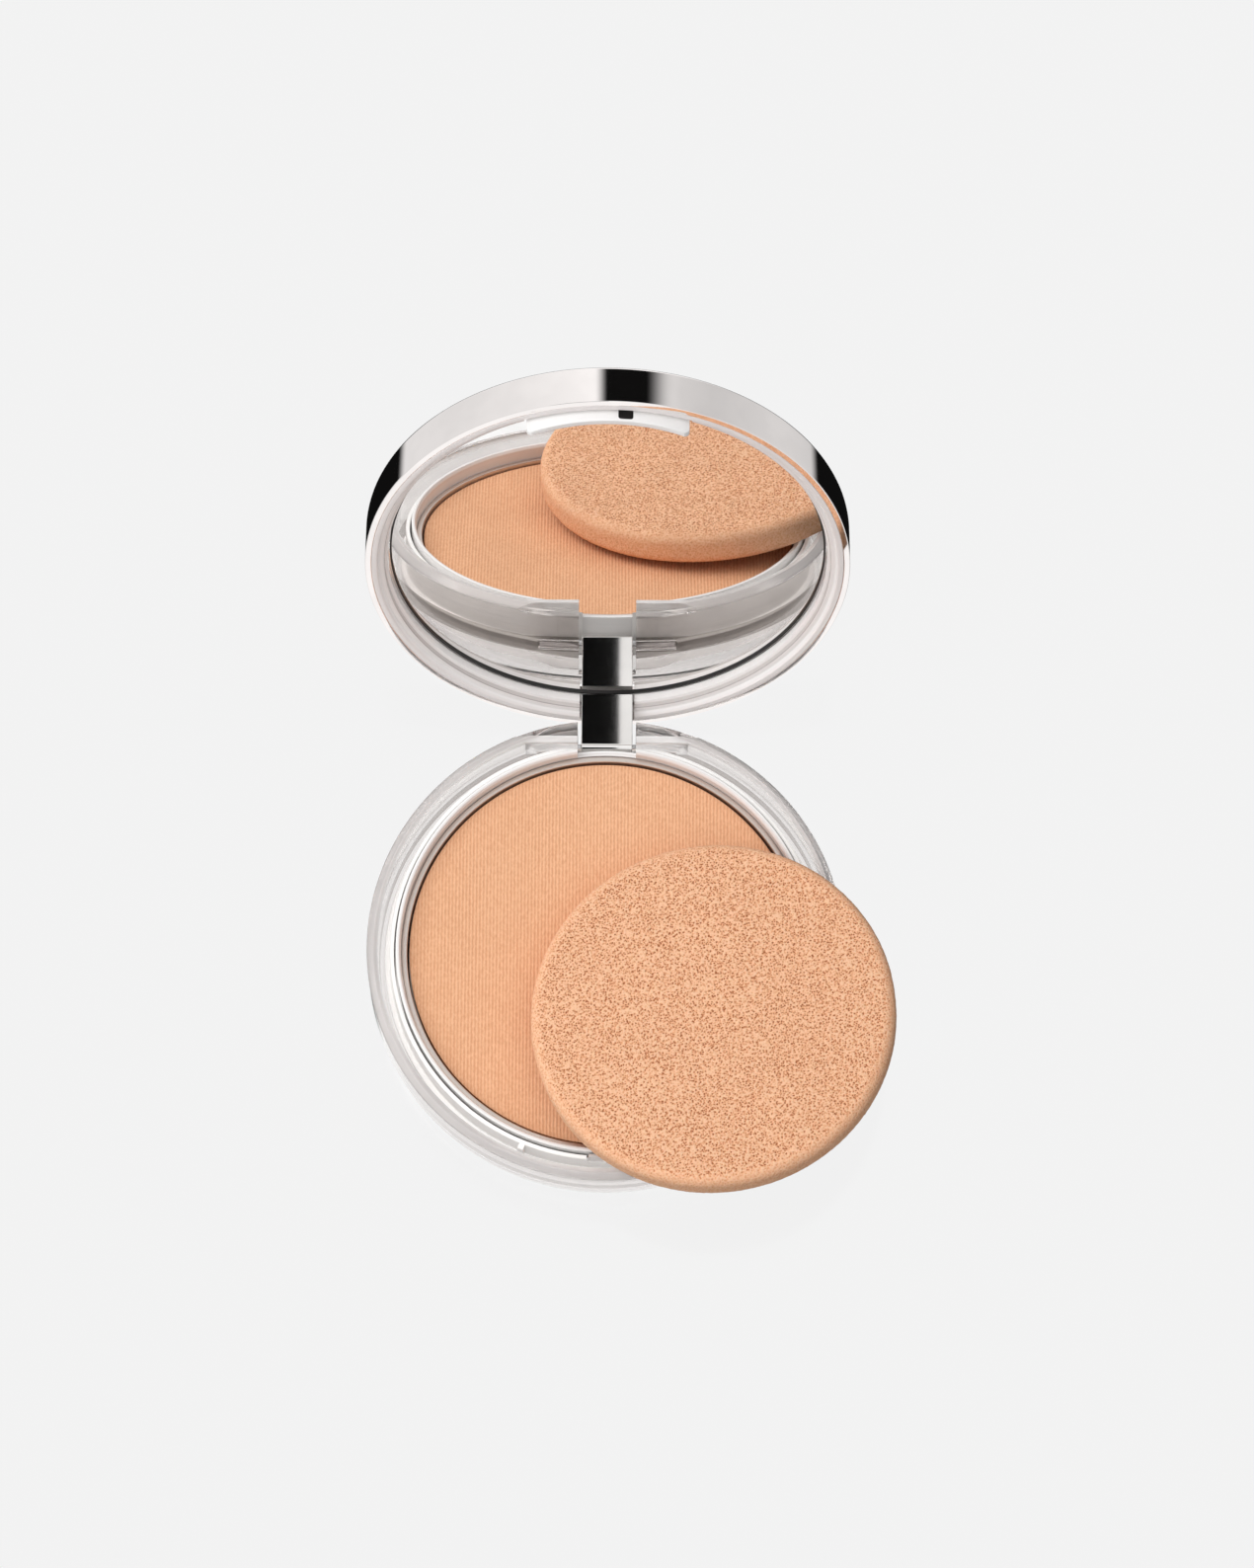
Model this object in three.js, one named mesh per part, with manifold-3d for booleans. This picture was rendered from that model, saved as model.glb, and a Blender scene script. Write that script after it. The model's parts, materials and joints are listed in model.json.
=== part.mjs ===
// A round pressed-powder compact, open on its hinge with a make-up sponge resting across its rim.
// Millimetres, +Z up. The origin is the centre of the underside.
// -Y is the latch side and +Y the hinge side.
import * as THREE from "three";
import { mergeVertices } from "three/addons/utils/BufferGeometryUtils.js";
import Module from "manifold-3d";

const wasm = await Module();
wasm.setup();

// ---- Driving dimensions ----
const GAP = 0.3; // clearance left between neighbouring pieces
const BASE_RADIUS = 38;
const RIM_Z = 16.3; // top of the base, where the closed lid meets it
const WALL = 1.8; // thickness of the clear outer wall
const FOOT_RADIUS = 31;
const POWDER_RADIUS = 31.33;
const POWDER_Z = 12.16; // face of the pressed powder
const DECK_Z = 13.9; // top of the white wall round the powder's collar
const LEDGE_Z = 8.8; // floor of the groove between that wall and the clear outer wall
const COLLAR_Z = 15.1;
const LID_RADIUS = 38.32;
const LID_HEIGHT = 7.6;
const LID_SKIN = 1;
const MIRROR_DEPTH = 3.67; // from the lid's rim down to the mirror's face
const MIRROR_VISIBLE_RADIUS = 34.22;
const GLASS = 1.2; // thickness of the mirror
const OPEN_ANGLE = 112.5; // degrees between the closed lid and its stop
const HINGE_Y = 35.1;
const HINGE_Z = 9.01;
const STRAP_HALF_WIDTH = 4.15;
const SLOT_HALF_WIDTH = 4.7; // gap in the base that the strap swings in
const BEARING_HALF_SPAN = 14.3; // outer ends of the two clear hinge bearings
const SHELF_Z = 14.8; // top of the bearings behind the hinge line, below the lid's swing
const PIN_RADIUS = 0.6;
const TONGUE_HALF_WIDTH = 12.5;
const TONGUE_REACH = 2.2; // how far the latch tongue passes the lid's rim
const POCKET_HALF_WIDTH = 12.9; // stretch of the groove that the tongue drops into
const SPONGE = {
  radius: 28.8,
  thickness: 5.8,
  edge: 1.8, // rounding of its rim
  x: 17.3,
  y: -13,
  z: RIM_Z + 1,
  tiltX: -6.6, // degrees
  tiltY: -5.2,
};

const LID_Z = RIM_Z + GAP; // the lid's rim when it is closed
const MIRROR_Z = LID_Z + MIRROR_DEPTH;
const LID_INNER_RADIUS = LID_RADIUS - LID_SKIN;
const LINER_RADIUS = LID_INNER_RADIUS - 0.32;
const AROUND = 72; // sides of a full turn
const FAR = 40; // past the outside of every piece

// ---- Geometry helpers ----
function toSolid(geometry) {
  const bare = geometry.clone();
  bare.deleteAttribute("normal");
  bare.deleteAttribute("uv");
  const merged = mergeVertices(bare, 1e-4);
  return new wasm.Manifold(
    new wasm.Mesh({
      numProp: 3,
      vertProperties: merged.attributes.position.array,
      triVerts: new Uint32Array(merged.index.array),
    }),
  );
}

function toGeometry(solid) {
  const mesh = solid.getMesh();
  const geometry = new THREE.BufferGeometry();
  geometry.setAttribute("position", new THREE.BufferAttribute(mesh.vertProperties, 3));
  geometry.setIndex(new THREE.BufferAttribute(mesh.triVerts, 1));
  geometry.computeVertexNormals();
  return geometry;
}

// Turns a counter-clockwise outline of [radius, height] points about the Z axis.
function turned(outline, sides = AROUND) {
  const points = [...outline, outline[0]].map(([radius, height]) => new THREE.Vector2(radius, height));
  const onAxis = outline[0][0] === 0;
  if (onAxis) points.pop();
  return toSolid(new THREE.LatheGeometry(points, sides).rotateX(Math.PI / 2));
}

function ring(inner, outer, bottom, top, sides = AROUND) {
  return turned([[inner, bottom], [outer, bottom], [outer, top], [inner, top]], sides);
}

function disc(radius, bottom, top, sides = AROUND) {
  return turned([[0, bottom], [radius, bottom], [radius, top], [0, top]], sides);
}

function block(x0, x1, y0, y1, z0, z1) {
  const box = new THREE.BoxGeometry(x1 - x0, y1 - y0, z1 - z0);
  return toSolid(box.translate((x0 + x1) / 2, (y0 + y1) / 2, (z0 + z1) / 2));
}

// A bar along X with the outline drawn in the YZ plane.
function barAlongX(outline, x0, x1) {
  const settings = { depth: x1 - x0, bevelEnabled: false, curveSegments: 10 };
  const bar = new THREE.ExtrudeGeometry(outline, settings);
  const toYZ = new THREE.Matrix4().makeBasis(
    new THREE.Vector3(0, 1, 0),
    new THREE.Vector3(0, 0, 1),
    new THREE.Vector3(1, 0, 0),
  );
  return toSolid(bar.applyMatrix4(toYZ).translate(x0, 0, 0));
}

function rodAlongX(radius, x0, x1, sides = 20) {
  const rod = new THREE.CylinderGeometry(radius, radius, x1 - x0, sides).rotateZ(Math.PI / 2);
  return toSolid(rod.translate((x0 + x1) / 2, HINGE_Y, HINGE_Z));
}

// A block over the latch side, for keeping or cutting a stretch of a ring.
function frontSlab(halfWidth, bottom, top) {
  return block(-halfWidth, halfWidth, -FAR, -25, bottom, top);
}

// Points of a quarter ellipse from one corner to the next, about a centre.
function quarter(centre, radii, startAngle, steps) {
  return Array.from({ length: steps + 1 }, (_, i) => {
    const angle = startAngle + (i / steps) * (Math.PI / 2);
    return [centre[0] + radii[0] * Math.cos(angle), centre[1] + radii[1] * Math.sin(angle)];
  });
}

function piece(name, solid, color, roughness, metalness) {
  const material = new THREE.MeshStandardMaterial({ color, roughness, metalness });
  const mesh = new THREE.Mesh(toGeometry(solid), material);
  mesh.name = name;
  return mesh;
}

// ---- Base: shell, deck and what the deck carries ----
const EDGE_Z = RIM_Z - 1.05; // widest edge of the wall, below a slanted rim band
const WALL_INNER_RADIUS = BASE_RADIUS - WALL;
const LABEL_RECESS = { radius: 25, depth: 0.7 };
const TURN_Z = 7.5; // where the underside's curve becomes the upright wall
const NOTCH_Y = 33.45; // front face of the notch that holds the hinge

function baseOutline() {
  return [
    [0, LABEL_RECESS.depth],
    [LABEL_RECESS.radius, LABEL_RECESS.depth],
    [LABEL_RECESS.radius, 0],
    ...quarter([FOOT_RADIUS, TURN_Z], [BASE_RADIUS - FOOT_RADIUS, TURN_Z], -Math.PI / 2, 6),
    [BASE_RADIUS, EDGE_Z],
    [BASE_RADIUS - 0.35, EDGE_Z + 0.6],
    [BASE_RADIUS - 1.1, RIM_Z],
  ];
}

function baseShell() {
  const floor = 2.3;
  const bend = { radius: 29.5, height: 8 };
  const reach = [WALL_INNER_RADIUS - bend.radius, bend.height - floor];
  const inside = quarter([bend.radius, bend.height], reach, -Math.PI / 2, 5).reverse();
  const cup = turned([...baseOutline(), [WALL_INNER_RADIUS, RIM_Z], ...inside, [0, floor]]);
  const notchEnd = BEARING_HALF_SPAN + GAP;
  return cup.subtract(block(-notchEnd, notchEnd, NOTCH_Y, FAR, 4.2, RIM_Z + 1));
}

const DECK = {
  wellInner: 33.7,
  wellOuter: 34.4,
  edge: 35.3,
  bottom: 6.2,
  floor: 7.2,
  skin: 1, // thickness of the groove's floor
};
const POST_THICKNESS = 0.9; // the two walls that end the latch pocket
const OVERLAP = 0.3; // how far a post runs into the tray it grows from
const CATCH = { halfWidth: 2.5, inner: 33.75, outer: 34.5, bottom: 12.5, top: 15.1 };

function baseDeck() {
  const tray = turned([
    [0, DECK.bottom],
    [DECK.wellOuter, DECK.bottom],
    [DECK.wellOuter, LEDGE_Z - DECK.skin],
    [DECK.edge, LEDGE_Z - DECK.skin],
    [DECK.edge, LEDGE_Z],
    [DECK.wellOuter, LEDGE_Z],
    [DECK.wellOuter, DECK_Z],
    [DECK.wellInner, DECK_Z],
    [DECK.wellInner, DECK.floor],
    [0, DECK.floor],
  ]);
  const groove = ring(DECK.wellOuter - OVERLAP, DECK.edge, LEDGE_Z - OVERLAP, DECK_Z);
  const between = frontSlab(POCKET_HALF_WIDTH, 0, RIM_Z + 1);
  const across = frontSlab(POCKET_HALF_WIDTH + POST_THICKNESS, 0, RIM_Z);
  const posts = groove.intersect(across).subtract(between);
  return tray
    .add(posts)
    .subtract(frontSlab(CATCH.halfWidth + GAP, CATCH.bottom - GAP, RIM_Z + 1))
    .subtract(block(-BEARING_HALF_SPAN, BEARING_HALF_SPAN, NOTCH_Y, FAR, 0, RIM_Z + 1));
}

function latchCatch() {
  const nose = turned([
    [CATCH.inner, CATCH.bottom],
    [CATCH.outer - 0.3, CATCH.bottom],
    [CATCH.outer, CATCH.bottom + 1],
    [CATCH.outer, CATCH.top - 0.9],
    [CATCH.outer - 0.3, CATCH.top],
    [CATCH.inner, CATCH.top],
  ]);
  return nose.intersect(frontSlab(CATCH.halfWidth, 0, RIM_Z));
}

const COLLAR = { inner: 32.6, outer: DECK.wellInner - GAP, bottom: DECK.floor + GAP };

function panCollar() {
  const wall = turned([
    [COLLAR.inner, COLLAR.bottom],
    [COLLAR.outer, COLLAR.bottom],
    [COLLAR.outer, COLLAR_Z],
    [COLLAR.inner + 0.25, COLLAR_Z],
    [COLLAR.inner, COLLAR_Z - 0.5],
  ]);
  return wall.subtract(block(-SLOT_HALF_WIDTH, SLOT_HALF_WIDTH, 20, FAR, DECK_Z - 1, RIM_Z + 1));
}

const PAN = { bottom: 8.1, floor: 8.6, outer: COLLAR.inner - GAP, inner: 31.66 };

function powderPan() {
  return turned([
    [0, PAN.bottom],
    [PAN.outer - 0.2, PAN.bottom],
    [PAN.outer, PAN.bottom + 0.4],
    [PAN.outer, POWDER_Z + 0.35],
    [PAN.outer - 0.2, POWDER_Z + 0.55],
    [PAN.inner, POWDER_Z + 0.45],
    [PAN.inner, PAN.floor],
    [0, PAN.floor],
  ]);
}

function pressedPowder() {
  return disc(POWDER_RADIUS, PAN.floor + GAP, POWDER_Z);
}

// ---- Hinge ----
const PIN = { near: 1, far: 11 }; // a pin runs between these distances from the middle
const KNUCKLE_RADIUS = 1.3;

// The two ends of a stretch that is mirrored for the left side, in increasing order.
function span(side, near, far) {
  return side < 0 ? [-far, -near] : [near, far];
}

function hingeBearing(side) {
  const [left, right] = span(side, SLOT_HALF_WIDTH, BEARING_HALF_SPAN);
  const lump = block(left, right, NOTCH_Y + GAP, FAR, 4.5, RIM_Z);
  const shelfWay = block(left - 1, right + 1, HINGE_Y - 0.2, FAR, SHELF_Z, RIM_Z + 1);
  const bore = rodAlongX(PIN_RADIUS + GAP, ...span(side, SLOT_HALF_WIDTH - 1, PIN.far + GAP));
  const outside = turned([...baseOutline(), [0, RIM_Z]]);
  return lump.intersect(outside).subtract(shelfWay).subtract(bore);
}

function hingePin(side) {
  return rodAlongX(PIN_RADIUS, ...span(side, PIN.near, PIN.far));
}

function hingeStrap() {
  const front = HINGE_Y - KNUCKLE_RADIUS;
  const top = MIRROR_Z - 0.9;
  const back = 37.5;
  const outline = new THREE.Shape();
  outline.moveTo(front, top);
  outline.lineTo(front, HINGE_Z);
  outline.absarc(HINGE_Y, HINGE_Z, KNUCKLE_RADIUS, Math.PI, 2 * Math.PI, false);
  outline.lineTo(back, HINGE_Z + 1.8);
  outline.lineTo(back, RIM_Z - 0.2);
  outline.lineTo(back - 0.8, RIM_Z + 0.1);
  outline.lineTo(back - 0.8, top);
  const strap = barAlongX(outline, -STRAP_HALF_WIDTH, STRAP_HALF_WIDTH);
  return strap.subtract(rodAlongX(PIN_RADIUS + GAP, -STRAP_HALF_WIDTH - 1, STRAP_HALF_WIDTH + 1));
}

// ---- Lid, drawn closed ----
const TONGUE = {
  inner: 34.8,
  outer: 35.7,
  window: { x: 2.7, halfWidth: 1.15, bottom: LID_Z - 0.9, top: LID_Z + 1.5, depth: 0.45 },
};

function lidShell() {
  const top = LID_Z + LID_HEIGHT;
  return turned([
    [0, top - LID_SKIN],
    [LID_INNER_RADIUS, top - LID_SKIN],
    [LID_INNER_RADIUS, LID_Z],
    [LID_RADIUS, LID_Z],
    ...quarter([LID_RADIUS - 0.8, top - 0.8], [0.8, 0.8], 0, 3),
    [0, top],
  ]);
}

function mirrorBezel() {
  const seat = MIRROR_Z - GAP;
  const steps = turned([
    [36.4, LID_Z],
    [LINER_RADIUS, LID_Z],
    [LINER_RADIUS, seat],
    [34.75, seat],
    [34.75, LID_Z + 1.9],
    [35.25, LID_Z + 1.7],
    [35.25, LID_Z + 0.9],
    [36.05, LID_Z + 0.8],
  ]);
  const front = frontSlab(TONGUE_HALF_WIDTH + GAP, 0, MIRROR_Z + 1);
  const tongueWay = ring(34, 36.05, LID_Z - 1, MIRROR_Z + 1).intersect(front);
  const strapWay = block(
    -STRAP_HALF_WIDTH - GAP,
    STRAP_HALF_WIDTH + GAP,
    NOTCH_Y - 0.05,
    FAR,
    LID_Z - 1,
    MIRROR_Z + 1,
  );
  return steps.subtract(strapWay).subtract(tongueWay);
}

function mirrorAdhesive() {
  const bottom = MIRROR_Z + GLASS + GAP;
  return disc(33, bottom, bottom + 0.3, 40);
}

function mirrorGasket() {
  return ring(MIRROR_VISIBLE_RADIUS, 34.45, MIRROR_Z - 0.6, MIRROR_Z - GAP);
}

function lidLiner() {
  const floor = LID_Z + LID_HEIGHT - LID_SKIN - GAP;
  const seat = 35.2; // clear of the mirror's edge
  return turned([
    [0, floor - 0.5],
    [seat, floor - 0.5],
    [seat, MIRROR_Z],
    [LINER_RADIUS, MIRROR_Z],
    [LINER_RADIUS, floor],
    [0, floor],
  ]);
}

function latchTongue() {
  const { inner, outer, window } = TONGUE;
  const bottom = LID_Z - TONGUE_REACH;
  const top = MIRROR_Z - 0.6;
  const blade = turned([
    [inner, bottom + 0.3],
    [inner + 0.3, bottom],
    [outer - 0.2, bottom],
    [outer, bottom + 0.4],
    [outer, top],
    [inner, top],
  ]);
  const recess = ring(outer - window.depth, FAR, window.bottom, window.top);
  const opening = frontSlab(window.halfWidth, 0, top + 1).translate(window.x, 0, 0);
  return blade
    .intersect(frontSlab(TONGUE_HALF_WIDTH, 0, top + 1))
    .subtract(recess.intersect(opening));
}

// ---- Sponge: a flat round foam pad with rounded edges ----
function spongePad() {
  const { radius, thickness, edge } = SPONGE;
  const corner = radius - edge;
  return turned([
    [0, 0],
    ...quarter([corner, edge], [edge, edge], -Math.PI / 2, 3),
    ...quarter([corner, thickness - edge], [edge, edge], 0, 3),
    [0, thickness],
  ], 48);
}

// ---- Assembly ----
const CLEAR = 0xe9e7e6;
const WHITE = 0xf4f3f2;
const CHROME = 0xd6d4d3;
const SKIN_TONE = 0xe6b48c;

const compact = new THREE.Group();

compact.add(
  piece("base_shell", baseShell(), CLEAR, 0.08, 0),
  piece("base_deck", baseDeck(), WHITE, 0.15, 0),
  piece("pan_collar", panCollar(), 0xcfcccb, 0.12, 0),
  piece("powder_pan", powderPan(), 0xb9b6b4, 0.35, 1),
  piece("pressed_powder", pressedPowder(), SKIN_TONE, 0.95, 0),
  piece("pan_adhesive", disc(30.5, COLLAR.bottom, PAN.bottom - GAP, 40), 0xd8d4cc, 0.8, 0),
  piece("latch_catch", latchCatch(), 0xc2bfbd, 0.2, 0),
  piece("base_label", disc(24.6, 0, 0.4, 40), 0xf2f1ef, 0.6, 0),
);
for (const [word, side] of [["left", -1], ["right", 1]]) {
  compact.add(piece("hinge_bearing_" + word, hingeBearing(side), CLEAR, 0.08, 0));
  compact.add(piece("hinge_pin_" + word, hingePin(side), 0xc4c4c6, 0.25, 1));
}

// The lid's pieces are drawn closed, and the two groups turn them back about the hinge pins.
const lid = new THREE.Group();
lid.position.set(0, -HINGE_Y, -HINGE_Z);
lid.add(
  piece("lid_shell", lidShell(), CHROME, 0.05, 1),
  piece("lid_liner", lidLiner(), 0xf0efee, 0.4, 0),
  piece("mirror_bezel", mirrorBezel(), CLEAR, 0.1, 0),
  piece("mirror_gasket", mirrorGasket(), 0x1c1a1a, 0.5, 0),
  piece("mirror_glass", disc(34.9, MIRROR_Z, MIRROR_Z + GLASS), 0xdfe3e4, 0.02, 1),
  piece("mirror_adhesive", mirrorAdhesive(), 0xdad7d0, 0.8, 0),
  piece("latch_tongue", latchTongue(), WHITE, 0.15, 0),
  piece("hinge_strap", hingeStrap(), CHROME, 0.05, 1),
);
const swing = new THREE.Group();
swing.position.set(0, HINGE_Y, HINGE_Z);
swing.rotation.x = THREE.MathUtils.degToRad(-OPEN_ANGLE);
swing.add(lid);
compact.add(swing);

const sponge = piece("sponge_applicator", spongePad(), SKIN_TONE, 0.95, 0);
sponge.position.set(SPONGE.x, SPONGE.y, SPONGE.z);
sponge.rotation.x = THREE.MathUtils.degToRad(SPONGE.tiltX);
sponge.rotation.y = THREE.MathUtils.degToRad(SPONGE.tiltY);
compact.add(sponge);

export default compact;
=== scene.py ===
"""A round powder compact, open, with its foam sponge across the rim, on a plain pale floor.

Outlines and lengths are in millimetres and become metres when a mesh is made.
The lid's pieces are drawn closed and then turned open about the hinge, as the frame's rest pose has it.
"""

import json
import math

import bmesh
import bpy
import numpy as np
from mathutils import Matrix, Vector, noise


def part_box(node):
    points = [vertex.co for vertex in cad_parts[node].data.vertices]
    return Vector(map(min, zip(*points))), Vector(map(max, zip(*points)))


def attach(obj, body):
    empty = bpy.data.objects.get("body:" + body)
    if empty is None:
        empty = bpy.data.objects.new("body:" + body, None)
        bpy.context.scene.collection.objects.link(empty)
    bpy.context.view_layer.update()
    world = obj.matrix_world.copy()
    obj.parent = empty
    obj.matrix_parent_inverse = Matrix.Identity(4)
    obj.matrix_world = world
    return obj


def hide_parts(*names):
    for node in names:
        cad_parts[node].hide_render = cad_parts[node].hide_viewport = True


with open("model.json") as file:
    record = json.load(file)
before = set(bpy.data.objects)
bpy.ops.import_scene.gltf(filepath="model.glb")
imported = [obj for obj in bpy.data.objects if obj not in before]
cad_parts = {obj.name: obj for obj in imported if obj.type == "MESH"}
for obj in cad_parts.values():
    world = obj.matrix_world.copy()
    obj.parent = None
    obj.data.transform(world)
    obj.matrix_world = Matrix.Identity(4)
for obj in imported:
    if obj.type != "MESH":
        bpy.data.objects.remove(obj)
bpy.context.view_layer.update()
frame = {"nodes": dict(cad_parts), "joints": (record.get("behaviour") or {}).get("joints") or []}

MM = 0.001
AROUND = 288  # sides of a full turn
SHARP = math.radians(38)

# ---- Sizes read from the frame ----


def box_mm(node):
    low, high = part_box(node)
    return low / MM, high / MM


hinge_joint = next(j for j in frame["joints"] if j["name"] == "lid_hinge")
HINGE = Vector(hinge_joint["pos_m"])
OPEN_ANGLE = math.radians(hinge_joint["range_deg"][1])
TO_OPEN = (
    Matrix.Translation(HINGE)
    @ Matrix.Rotation(-OPEN_ANGLE, 4, "X")
    @ Matrix.Translation(-HINGE)
)
TO_CLOSED = TO_OPEN.inverted()


def closed_box_mm(node):
    """The box of a lid node in millimetres, with the lid closed."""
    points = [TO_CLOSED @ v.co / MM for v in frame["nodes"][node].data.vertices]
    low = Vector(min(p[i] for p in points) for i in range(3))
    high = Vector(max(p[i] for p in points) for i in range(3))
    return low, high


BASE_R = box_mm("base_shell")[1].x
RIM_Z = box_mm("base_shell")[1].z
DECK_BOTTOM = box_mm("base_deck")[0].z
DECK_R = box_mm("base_deck")[1].x
DECK_Z = box_mm("base_deck")[1].z
POWDER_R = box_mm("pressed_powder")[1].x
POWDER_Z = box_mm("pressed_powder")[1].z
PAN_R = box_mm("powder_pan")[1].x
PAN_TOP = box_mm("powder_pan")[1].z
PAN_BOTTOM = box_mm("powder_pan")[0].z
COLLAR_R = box_mm("pan_collar")[1].x
COLLAR_TOP = box_mm("pan_collar")[1].z
COLLAR_BOTTOM = box_mm("pan_collar")[0].z
HINGE_Y = HINGE.y / MM
HINGE_Z = HINGE.z / MM
LID_LOW, LID_HIGH = closed_box_mm("lid_shell")
LID_R = LID_HIGH.x
LID_Z = LID_LOW.z
LID_TOP = LID_HIGH.z
MIRROR_Z = closed_box_mm("mirror_glass")[0].z
MIRROR_R = closed_box_mm("mirror_glass")[1].x
MIRROR_TOP = closed_box_mm("mirror_glass")[1].z
GASKET_HIGH = closed_box_mm("mirror_gasket")[1]
BEZEL_R = closed_box_mm("mirror_bezel")[1].x
TONGUE_LOW, TONGUE_HIGH = closed_box_mm("latch_tongue")
STRAP_LOW, STRAP_HIGH = closed_box_mm("hinge_strap")

# ---- Sizes of the detail, in millimetres ----
WALL_INNER_R = 36.2
FOOT_R = 31
EDGE_DROP = 1.05  # from the rim down to the wall's widest edge
LEDGE_Z = 8.8  # floor of the groove inside the clear wall
WELL_INNER_R = 33.7
WELL_OUTER_R = 34.4
POCKET_HALF = 12.9
POST_THICKNESS = 0.9
SLOT_HALF = 4.7
NOTCH_Y = 33.45
NOTCH_HALF = 14.6
SHELF_Z = 14.8
RIB_PITCH = 0.55
WINDOW_X = 2.7  # middle of the tongue's window, whose floor is painted black as shade
WINDOW_HALF = 1.15

# ---- Camera ----
CAMERA_LENS = 126.4
CAMERA_DISTANCE = 883
CAMERA_ELEVATION = math.radians(72.97)
CAMERA_AZIMUTH = math.radians(-0.51)
CAMERA_ROLL = math.radians(0.8)
CAMERA_RIGHT = 3.44
CAMERA_UP = 28.21
CAMERA_RAISE = 7.51


def make_camera():
    az, el = CAMERA_AZIMUTH, CAMERA_ELEVATION
    back = Vector((math.sin(az) * math.cos(el), -math.cos(az) * math.cos(el), math.sin(el)))
    level_right = Vector((math.cos(az), math.sin(az), 0))
    level_up = back.cross(level_right)
    turn = CAMERA_ROLL
    right = level_right * math.cos(turn) + level_up * math.sin(turn)
    up = level_up * math.cos(turn) - level_right * math.sin(turn)
    place = back * CAMERA_DISTANCE + right * CAMERA_RIGHT + up * CAMERA_UP
    place.z += CAMERA_RAISE
    data = bpy.data.cameras.new("camera")
    data.sensor_width = 36
    data.lens = CAMERA_LENS
    data.clip_start = 0.01
    data.clip_end = 20
    camera = bpy.data.objects.new("camera", data)
    axes = Matrix((right, up, back)).transposed().to_4x4()
    camera.matrix_world = Matrix.Translation(place * MM) @ axes
    bpy.context.scene.collection.objects.link(camera)
    bpy.context.scene.camera = camera


make_camera()

# ---- Mesh helpers ----


def link(name, mesh):
    obj = bpy.data.objects.new(name, mesh)
    bpy.context.scene.collection.objects.link(obj)
    return obj


def from_bmesh(name, bm, angle=SHARP):
    """A linked object with smooth faces and sharp edges where faces meet at more than the angle."""
    bmesh.ops.remove_doubles(bm, verts=bm.verts, dist=1e-4 * MM)
    bmesh.ops.recalc_face_normals(bm, faces=bm.faces)
    for face in bm.faces:
        face.smooth = True
    for edge in bm.edges:
        edge.smooth = len(edge.link_faces) == 2 and edge.calc_face_angle(0) < angle
    mesh = bpy.data.meshes.new(name)
    bm.to_mesh(mesh)
    bm.free()
    return link(name, mesh)


def fillet(corners, steps=4):
    """Rounds the corners of an outline given as (radius, height) or (radius, height, rounding)."""
    points = []
    count = len(corners)
    for i, corner in enumerate(corners):
        here = Vector(corner[:2])
        rounding = corner[2] if len(corner) > 2 else 0
        if not rounding:
            points.append(here)
            continue
        before = (Vector(corners[i - 1][:2]) - here).normalized()
        after = (Vector(corners[(i + 1) % count][:2]) - here).normalized()
        half = before.angle(after) / 2
        reach = rounding / math.tan(half)
        start, end = here + before * reach, here + after * reach
        centre = here + (before + after).normalized() * (rounding / math.sin(half))
        a, b = start - centre, end - centre
        sweep = a.angle_signed(b)
        for k in range(steps + 1):
            turn = Matrix.Rotation(-sweep * k / steps, 2)
            points.append(centre + turn @ a)
    return points


def quarter(centre, radii, start, steps):
    """Points of a quarter ellipse from an angle in degrees, counter-clockwise."""
    angles = [math.radians(start + 90 * i / steps) for i in range(steps + 1)]
    return [(centre[0] + radii[0] * math.cos(a), centre[1] + radii[1] * math.sin(a)) for a in angles]


def turned(name, outline, first=0, last=360, sides=AROUND, angle=SHARP):
    """Turns an outline of (radius, height) about Z, all the way or through part of a turn."""
    full = last - first >= 360
    count = sides if full else max(4, round(sides * (last - first) / 360))
    bm = bmesh.new()
    rings = []
    for r, z in outline:
        if r < 1e-6:
            rings.append([bm.verts.new((0, 0, z * MM))])
            continue
        ring = []
        for i in range(count if full else count + 1):
            a = math.radians(first + (last - first) * i / count)
            ring.append(bm.verts.new((r * math.cos(a) * MM, r * math.sin(a) * MM, z * MM)))
        rings.append(ring)
    pairs = list(zip(rings, rings[1:]))
    if len(rings[0]) > 1:
        pairs.append((rings[-1], rings[0]))
    for low, high in pairs:
        for i in range(count):
            j = (i + 1) % count if full else i + 1
            corners = [low[i % len(low)], low[j % len(low)], high[j % len(high)], high[i % len(high)]]
            corners = list(dict.fromkeys(corners))
            if len(corners) > 2:
                bm.faces.new(corners)
    if not full:
        bm.faces.new([ring[0] for ring in rings])
        bm.faces.new([ring[-1] for ring in reversed(rings)])
    return from_bmesh(name, bm, angle)


def block(name, low, high, bevel=0.0):
    """A box between two corners with bevelled edges."""
    bm = bmesh.new()
    bmesh.ops.create_cube(bm, size=1)
    size = Vector(high) - Vector(low)
    middle = (Vector(high) + Vector(low)) / 2
    bmesh.ops.scale(bm, vec=size * MM, verts=bm.verts)
    bmesh.ops.translate(bm, vec=middle * MM, verts=bm.verts)
    if bevel:
        bmesh.ops.bevel(bm, geom=bm.edges, offset=bevel * MM, segments=3, profile=0.5, affect="EDGES")
    return from_bmesh(name, bm)


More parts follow.
